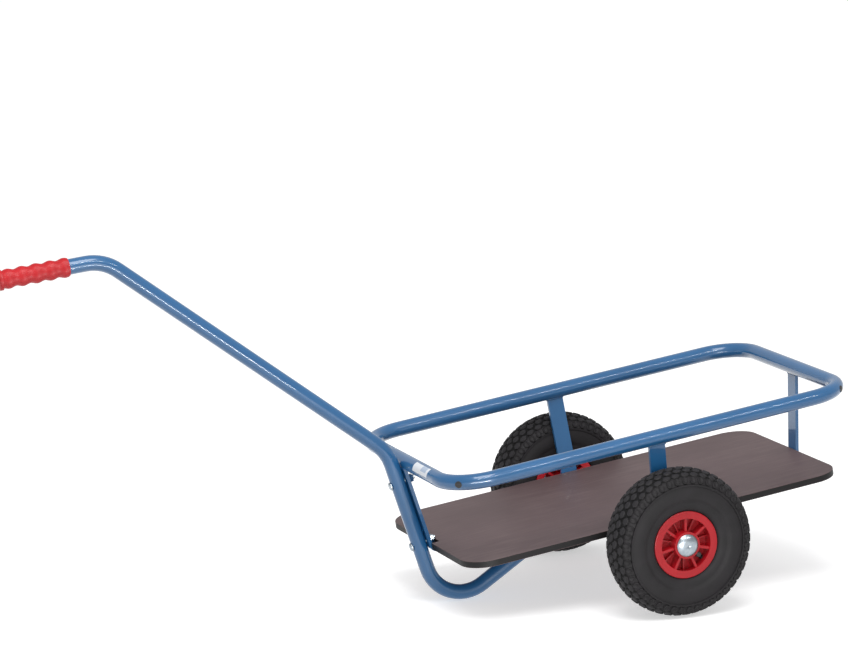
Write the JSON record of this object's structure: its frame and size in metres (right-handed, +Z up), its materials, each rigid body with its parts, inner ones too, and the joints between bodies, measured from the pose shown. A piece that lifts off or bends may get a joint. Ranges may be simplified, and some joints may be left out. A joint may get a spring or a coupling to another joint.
{
  "type": "two-wheeled hand cart",
  "caption": "Two-wheeled hand cart: bent tube drawbar with a grip, plywood deck inside a tubular guard rail, pneumatic tyres on plastic rims.",
  "frame": {"origin": "on the floor, at the middle of the whole cart's length and width, with the cart standing on its two wheels and its foot", "axes": "+Z up, +X along the cart from the handle towards the rear, +Y across it, to the right of someone at the rear who faces the handle, so the right wheel is at +Y"},
  "size_m": [1.4868, 0.609, 0.6649],
  "materials": {
    "black_plastic": "matt black plastic",
    "blue_paint": "glossy blue powder coat",
    "bright_steel": "ground steel",
    "film_plywood": "brown film-faced plywood",
    "label_film": "white film, blank but for a plain pale-blue patch",
    "red_grip": "soft glossy red plastic",
    "red_plastic": "moulded red plastic, satin gloss",
    "tube_rubber": "black rubber",
    "tyre_rubber": "dark grey rubber",
    "white_plastic": "natural plastic",
    "zinc_steel": "bright zinc plate"
  },
  "bodies": {
    "frame": {"axle": "zinc_steel", "axle_saddles": "blue_paint", "axle_stop_rings": "zinc_steel", "cross_bracket": "blue_paint", "deck_panel": "film_plywood", "deck_screws": "zinc_steel", "drawbar_bolts": "zinc_steel", "drawbar_tube": "blue_paint", "drawbar_washers": "zinc_steel", "front_bracket": "blue_paint", "grip": "red_grip", "guard_rail": "blue_paint", "label": "label_film", "left_axle_cap": "zinc_steel", "lower_nut": "zinc_steel", "rail_plugs": "black_plastic", "rear_bracket": "blue_paint", "right_axle_cap": "zinc_steel", "upper_nut": "blue_paint"},
    "left_wheel": {"left_bearing_cages": "white_plastic", "left_bearing_rollers": "bright_steel", "left_inner_tube": "tube_rubber", "left_rim_inner": "red_plastic", "left_rim_outer": "red_plastic", "left_rim_screws": "zinc_steel", "left_tyre": "tyre_rubber", "left_valve_cap": "black_plastic", "left_valve_stem": "tube_rubber"},
    "right_wheel": {"right_bearing_cages": "white_plastic", "right_bearing_rollers": "bright_steel", "right_inner_tube": "tube_rubber", "right_rim_inner": "red_plastic", "right_rim_outer": "red_plastic", "right_rim_screws": "zinc_steel", "right_tyre": "tyre_rubber", "right_valve_cap": "black_plastic", "right_valve_stem": "tube_rubber"}
  },
  "joints": [
    {"name": "left_wheel_spin", "type": "hinge", "parent": "frame", "child": "left_wheel", "pos_m": [0.38039, -0.26, 0.13], "axis": [0, 1, 0], "continuous": true},
    {"name": "right_wheel_spin", "type": "hinge", "parent": "frame", "child": "right_wheel", "pos_m": [0.38039, 0.26, 0.13], "axis": [0, 1, 0], "continuous": true}
  ]
}
